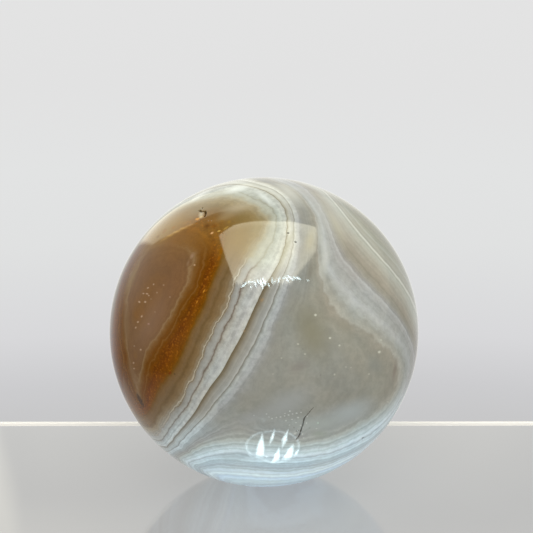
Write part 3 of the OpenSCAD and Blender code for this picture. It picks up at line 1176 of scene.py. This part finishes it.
@dataclass(frozen=True)
class Card:
    """The bright card over the ball, which only polished things mirror.

    Its edges stand in a level plane one unit up: right is along X, far is along Y.
    """

    left: Point = (-0.475, -0.455)
    right: Point = (0.570, 0.595)
    right_slant: float = 0.2
    corner: Point = (0.625, 0.675)
    corner_slant: float = -0.24
    near: Point = (-0.93, -0.87)
    fringe: float = 0.40
    fringe_scale: float = 26.0
    far: Point = (0.15, 0.17)
    far_rise: Point = (0.1, 0.28)
    far_cut: Point = (-0.28, 0.5)
    glow_over: Point = (-0.85, 0.16)
    glow: Point = (5.4, 3.2)
    rim: Point = (0.06, 0.13)
    rim_glow: float = 0.9

    def light(self, w: Wiring, along: Socket, ahead: Socket, up: Socket) -> Socket:
        """Wires the card.

        Args:
            w: The wiring to add to.
            along: The direction's part along X.
            ahead: Its part along Y.
            up: Its part along Z.

        Returns:
            The card's glow in that direction, 0 outside the card.
        """
        level = w.most(up, 0.001)
        right, far = w.work("DIVIDE", along, level), w.work("DIVIDE", ahead, level)
        right_edge = w.times(
            w.span(w.slope(far, self.right_slant, right), *self.right, 1.0, 0.0),
            w.span(w.slope(far, self.corner_slant, right), *self.corner, 1.0, 0.0))
        ragged = w.slope(w.noise(self.fringe_scale, 2.0, 0.7, W=right), self.fringe,
                         w.plus(far, -self.fringe / 2))
        rise = w.times(w.most(w.minus(right, self.far_rise[0]), 0.0), self.far_rise[1])
        cut = w.times(w.most(w.minus(self.far_cut[0], right), 0.0), self.far_cut[1])
        far_edge = w.span(w.plus(w.minus(far, rise), cut), *self.far, 1.0, 0.0)
        inside = w.times(w.span(right, *self.left), right_edge, w.span(ragged, *self.near),
                         far_edge)
        return w.times(inside, w.plus(w.span(far, *self.glow_over, *self.glow),
                                      w.span(far, *self.rim, 0.0, self.rim_glow)))


@dataclass(frozen=True)
class Wall:
    """The bright wall behind the ball, which only polished things mirror.

    Its edges stand in an upright plane one unit behind: right is along X, high is along Z.
    """

    top_over: Point = (-0.8, -0.3)
    top: Point = (2.14, 3.2)
    top_start: float = 2.08
    top_slant: float = -0.49
    left: Point = (-1.20, -1.17)
    lean: Point = (1.05, 0.42)
    foot: Point = (-0.31, -0.27)
    foot_slant: float = 0.84
    right: Point = (-0.2, 0.05)
    right_share: float = 0.4
    drop_over: Point = (-0.34, -0.25)
    drop: float = 0.4
    glow_over: Point = (0.0, 0.12)
    glow: Point = (0.05, 1.15)
    high_over: Point = (0.2, 0.5)
    high_glow: float = -0.25
    rim_ahead: Point = (0.9, 0.99)
    rim_along: Point = (-0.05, 0.2)
    rim_up: Point = (-0.2, -0.05)
    rim_glow: float = 0.2
    haze_high: Point = (0.38, 0.55)
    haze_side: Point = (0.22, 0.4)
    haze_glow: float = 0.27

    def light(self, w: Wiring, along: Socket, ahead: Socket, up: Socket) -> Socket:
        """Wires the wall.

        Args:
            w: The wiring to add to.
            along: The direction's part along X.
            ahead: Its part along Y.
            up: Its part along Z.

        Returns:
            The wall's extra glow in that direction.
        """
        depth = w.most(ahead, 0.001)
        right, high = w.work("DIVIDE", along, depth), w.work("DIVIDE", up, depth)
        top_edge = w.span(w.slope(right, self.top_slant, high), self.top_start,
                          w.span(right, *self.top_over, *self.top), 1.0, 0.0)
        lean = w.times(w.most(w.minus(self.lean[0], high), 0.0), self.lean[1])
        inside = w.times(top_edge, w.span(w.minus(right, lean), *self.left),
                         w.span(w.slope(right, self.foot_slant, high), *self.foot),
                         w.span(right, *self.right, 1.0, self.right_share))
        low = w.minus(high, w.span(right, *self.drop_over, 0.0, self.drop))
        glow = w.plus(w.span(low, *self.glow_over, *self.glow),
                      w.span(low, *self.high_over, 0.0, self.high_glow))
        rim = w.times(w.span(ahead, *self.rim_ahead, 0.0, self.rim_glow),
                      w.span(along, *self.rim_along, 1.0, 0.0), w.span(up, *self.rim_up))
        aside = w.node("Math", {"operation": "ABSOLUTE"}, i0=right).outputs[0]
        haze = w.times(w.span(high, *self.haze_high, self.haze_glow, 0.0),
                       w.span(aside, *self.haze_side, 1.0, 0.0))
        return w.most(w.times(inside, glow), rim, haze)


class Shine(Enum):
    """Which way a flat bright thing shines."""

    UP = 1.0
    DOWN = -1.0


@dataclass(frozen=True)
class Glint:
    """A bright thing that the stone mirrors, drawn on the sight's grid by its outline."""

    outline: tuple[Point, ...]
    glow: float


def dash(across: float, down: float, to_across: float, to_down: float, width: float,
         glow: float) -> Glint:
    """Draws a thin spindle from one point to another.

    Args:
        across: The first point, from the left edge.
        down: The first point, from the top edge.
        to_across: The second point, from the left edge.
        to_down: The second point, from the top edge.
        width: How wide it is in its middle.
        glow: How brightly it shines.

    Returns:
        The spindle.
    """
    run, rise = to_across - across, to_down - down
    aside = width / 2 / math.hypot(run, rise)
    middle = ((across + to_across) / 2, (down + to_down) / 2)
    left = (middle[0] - rise * aside, middle[1] + run * aside)
    right = (middle[0] + rise * aside, middle[1] - run * aside)
    return Glint(((across, down), left, (to_across, to_down), right), glow)


POOLS = (
    Glint(((262.6, 430), (264.6, 438), (265.2, 447), (264.8, 459), (260, 460), (254.4, 459),
           (255.4, 449), (258, 441)), 25),
    Glint(((275.1, 426.4), (275, 436), (273, 441.5), (268.6, 447), (269, 440.5), (271.4, 434)), 22),
    Glint(((289.2, 426.8), (288, 435), (288.2, 441), (284.6, 446), (281, 451), (281, 445),
           (280.2, 440), (284, 434)), 22),
    Glint(((280, 445), (280.6, 454), (280, 460.6), (274, 464), (269, 464.6), (272.6, 459.5),
           (275, 453)), 22),
    Glint(((294, 442), (295, 446), (293.8, 453), (292, 459.4), (285, 461.6), (279.6, 460.6),
           (284.6, 455), (287, 448)), 22),
    dash(300.6, 446.5, 292.6, 458.4, 3.6, 15), dash(262.5, 456, 270.5, 457.2, 3, 10),
    dash(246, 452.5, 254, 458.5, 2.2, 8),
)
RING = ((259, 431.5), (252, 434.5), (247, 439), (244.2, 444), (244.8, 449.5), (249, 454.3),
        (256, 458.5), (264, 461.5), (273, 463.5), (283, 463), (292, 460), (298, 455),
        (301, 448.5), (300.5, 442), (297, 436.5), (291, 432.5), (282, 430.5), (271, 430))
STREAKS = tuple(dash(*row) for row in (
    (240, 287.6, 247, 283.6, 1.8, 30), (243.6, 284.6, 247.6, 281.6, 1.5, 24),
    (247, 284.2, 250.6, 279.6, 1.6, 27), (249.6, 281.4, 254.6, 282.4, 1.4, 24),
    (249.8, 284, 251.4, 289, 1.3, 24), (254, 279.6, 256.8, 288.6, 1.6, 27),
    (256.6, 278, 259.4, 285, 1.6, 27), (259.8, 277.8, 263.2, 289.6, 2.1, 39),
    (262.6, 277.4, 266.4, 286, 2, 39), (267.4, 281.4, 269.8, 288, 1.6, 27),
    (272, 276.2, 272.2, 285, 1.6, 30), (275.8, 278.4, 274, 285, 1.4, 21),
    (277.2, 284, 280.2, 275.4, 1.6, 27), (281.8, 279, 285.4, 277, 1.5, 24),
    (284.8, 276, 289.2, 283, 1.8, 33), (286.6, 275, 294.6, 281, 1.8, 39),
    (292.6, 275.6, 297, 280, 1.4, 24), (295.6, 276.6, 301.2, 280, 1.8, 33),
    (306.4, 279.8, 309.8, 281.2, 1.4, 18),
))
BACKDROP = (
    (-1, (198, 198, 199)), (-0.31, (199, 199, 200)), (-0.28, (204, 204, 206)),
    (-0.235, (216, 216, 218)), (-0.15, (224, 225, 225)), (-0.08, (226, 227, 227)),
    (0, (226, 226, 226)), (0.2, (229, 229, 229)), (1, (232, 232, 232)),
)


@dataclass
class Studio:
    """The pale sheet under the ball, the room around it and its soft lamp.

    A ring step is its share of the size of the one outside it, and the glow there.
    """

    radius: float = BALL_R
    half_width: float = 2.5
    front: float = 2.5
    behind: float = 1.035
    thickness: float = 0.002
    edge_width: float = 0.001
    edge_height: float = 0.0007
    bevel: float = 0.0003
    plain_light: Colour = (224, 224, 224)
    warm_shade: Colour = (255, 232, 200)
    warm_over: Point = (0.25, 0.9)
    warm_along: Point = (-0.5, 0.2)
    dim_over: Point = (0.0, 0.4)
    dim: Point = (0.3, 0.15)
    dim_end_over: Point = (-0.05, 0.2)
    dim_end: Point = (0.5, 0.1)
    plain_start: float = 0.92
    bright_colour: Colour = (252, 247, 222)
    lamp_distance: float = 0.9
    lamp_elevation: float = 50.0
    lamp_size: float = 0.8
    lamp_power: float = 8.4
    ring_lift: float = 0.1 * MM
    pool_lift: float = 0.2 * MM
    streak_height: float = 0.5
    streak_rim: float = 0.5
    ring_steps: tuple[Point, ...] = ((0.95, 4.0), (0.96, 4.0), (0.94, 1.1))

    def bar(self, name: str, low: Vector, high: Vector) -> bpy.types.Object:
        """Builds a long block with softened edges.

        Args:
            name: Its name.
            low: Its lowest corner.
            high: Its highest corner.

        Returns:
            The block.
        """
        block = bmesh.new()
        bmesh.ops.create_cube(block, size=1.0)
        bmesh.ops.scale(block, vec=high - low, verts=block.verts)
        bmesh.ops.translate(block, vec=(low + high) / 2, verts=block.verts)
        bmesh.ops.bevel(block, geom=block.edges[:], offset=self.bevel, segments=3, profile=0.5,
                        affect="EDGES", material=-1)
        piece = placed(name, block)
        return piece

    def sheet(self) -> None:
        """Lays the glossy sheet, with its bright cut edge behind the ball."""
        wide, back, top = self.half_width, self.behind * self.radius, -self.radius
        low = top - self.thickness
        sheet = self.bar("sheet", Vector((-wide, -self.front, low)), Vector((wide, back, top)))
        sheet.data.materials.append(SheetFinish().material())
        edge = self.bar("sheet_edge", Vector((-wide, back, low)),
                        Vector((wide, back + self.edge_width, top + self.edge_height)))
        edge.data.materials.append(EdgeFinish().material())
        edge.visible_glossy = False

    def room(self) -> None:
        """Sets the world: a pale surround to the eye, a plain level for the light."""
        world = bpy.data.worlds.new("room")
        bpy.context.scene.world = world
        w = Wiring(world)
        toward = w.node("TexCoord").outputs["Generated"]
        along, ahead, up = w.node("SeparateXYZ", i0=toward).outputs
        path = w.node("LightPath").outputs
        glossy = path["Is Glossy Ray"]
        seen = w.most(path["Is Camera Ray"], glossy, path["Is Transmission Ray"])
        colour = w.blend(seen, linear(self.plain_light), w.ramp(up, -1.0, 1.0, BACKDROP))
        dim = w.span(ahead, w.span(up, *self.dim_end_over, *self.dim_end), self.plain_start,
                     w.span(up, *self.dim_over, *self.dim))
        strength = w.most(dim, w.minus(1.0, glossy))
        warmth = w.times(w.span(strength, *self.warm_over, 1.0, 0.0),
                         w.span(along, *self.warm_along, 1.0, 0.0))
        colour = w.blend(warmth, colour, linear(self.warm_shade), "MULTIPLY")
        ground = w.node("Background", Color=colour, Strength=strength)
        bright = w.plus(*(thing.light(w, along, ahead, up) for thing in (Card(), Wall())))
        mirrored = w.node("Background", Color=linear(self.bright_colour),
                          Strength=w.times(bright, glossy))
        both = w.node("AddShader", i0=ground.outputs[0], i1=mirrored.outputs[0])
        w.node("OutputWorld", Surface=both.outputs[0])

    def lamp(self) -> None:
        """Hangs the soft lamp over the ball. It lights things, and nothing polished mirrors it."""
        data = bpy.data.lights.new("soft_lamp", "AREA")
        data.size = self.lamp_size
        data.energy = self.lamp_power * self.lamp_size ** 2
        lamp = bpy.data.objects.new("soft_lamp", data)
        lean = Matrix.Rotation(math.radians(90.0 - self.lamp_elevation), 4, "X")
        middle = Vector(compass(0.0, self.lamp_elevation)) * self.lamp_distance
        lamp.matrix_world = Matrix.Translation(middle) @ lean
        lamp.visible_camera = lamp.visible_glossy = False
        bpy.context.scene.collection.objects.link(lamp)

    def glints(self, sight: Sight) -> None:
        """Lays the bright ring and pools before the ball and hangs the bright streaks over it.

        Args:
            sight: The view in which they are drawn.
        """
        material = GlintFinish().material()
        floor = -self.radius
        ring = bmesh.new()
        glow = ring.verts.layers.float.new("glow")
        drawn = sight.mirrored(np.array(RING, float), floor + self.ring_lift)
        face = self.outline(ring, drawn, glow, 0.0)
        middle = face.calc_center_median()
        for share, level in self.ring_steps:
            made = bmesh.ops.extrude_face_region(ring, geom=[face])["geom"]
            bmesh.ops.delete(ring, geom=[face], context="FACES_ONLY")
            face = next(part for part in made if isinstance(part, bmesh.types.BMFace))
            bmesh.ops.scale(ring, vec=(share, share, 1.0), verts=face.verts,
                            space=Matrix.Translation(-middle))
            for vert in face.verts:
                vert[glow] = level
        self.light_mesh("glint_ring", ring, material, Shine.UP)
        for name, shapes, height, side, rim in (
                ("glint_pools", POOLS, floor + self.pool_lift, Shine.UP, 0.0),
                ("glint_streaks", STREAKS, self.streak_height, Shine.DOWN, self.streak_rim)):
            mesh = bmesh.new()
            glow = mesh.verts.layers.float.new("glow")
            for shape in shapes:
                drawn = sight.mirrored(np.array(shape.outline, float), height)
                face = self.outline(mesh, drawn, glow, rim * shape.glow)
                for vert in bmesh.ops.poke(mesh, faces=[face])["verts"]:
                    vert[glow] = shape.glow
            self.light_mesh(name, mesh, material, side)

    def outline(self, mesh: BMesh, places: Rows, glow: bmesh.types.BMLayerItem,
                level: float) -> bmesh.types.BMFace:
        """Adds one flat face with a given outline.

        Args:
            mesh: The mesh to add to.
            places: The corners in order.
            glow: The layer that holds the glow of each corner.
            level: The glow at the outline.

        Returns:
            The face.
        """
        made = bmesh.ops.create_circle(mesh, cap_ends=True, segments=len(places), radius=1.0)
        for vert, place in zip(made["verts"], places):
            vert.co = Vector(place)
            vert[glow] = level
        return made["verts"][0].link_faces[0]

    def light_mesh(self, name: str, mesh: BMesh, material: bpy.types.Material,
                   side: Shine) -> None:
        """Turns a mesh into a piece that only polished things mirror.

        Args:
            name: Its name.
            mesh: The mesh, which is used up.
            material: Its material.
            side: Which way it shines.
        """
        mesh.normal_update()
        turned = [f for f in mesh.faces if f.normal.z * side.value < 0.0]
        bmesh.ops.reverse_faces(mesh, faces=turned)
        piece = placed(name, mesh)
        piece.data.materials.append(material)
        piece.visible_camera = piece.visible_diffuse = piece.visible_shadow = False
        piece.visible_transmission = piece.visible_volume_scatter = False


def main() -> None:
    """Builds the camera, the room and the ball, and reports the ball's faces."""
    logging.basicConfig(level=logging.INFO, format="%(name)s: %(message)s")
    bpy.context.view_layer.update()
    scene = bpy.context.scene
    scene.view_settings.view_transform = "Standard"
    sight = Sight()
    sight.camera()
    studio = Studio()
    studio.sheet()
    LOG.info("sheet and sheet_edge: stage pieces under the ball")
    studio.room()
    studio.lamp()
    studio.glints(sight)
    LOG.info("glint_ring, glint_pools and glint_streaks: stage pieces that are only mirrored")
    ball = AgateBall(sight).build()
    ball.data.materials.append(AgateFinish().material())
    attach(ball, "root")
    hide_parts("agate_ball")
    LOG.info("%s: %d faces", ball.name, len(ball.data.polygons))


if __name__ == "__main__":
    main()
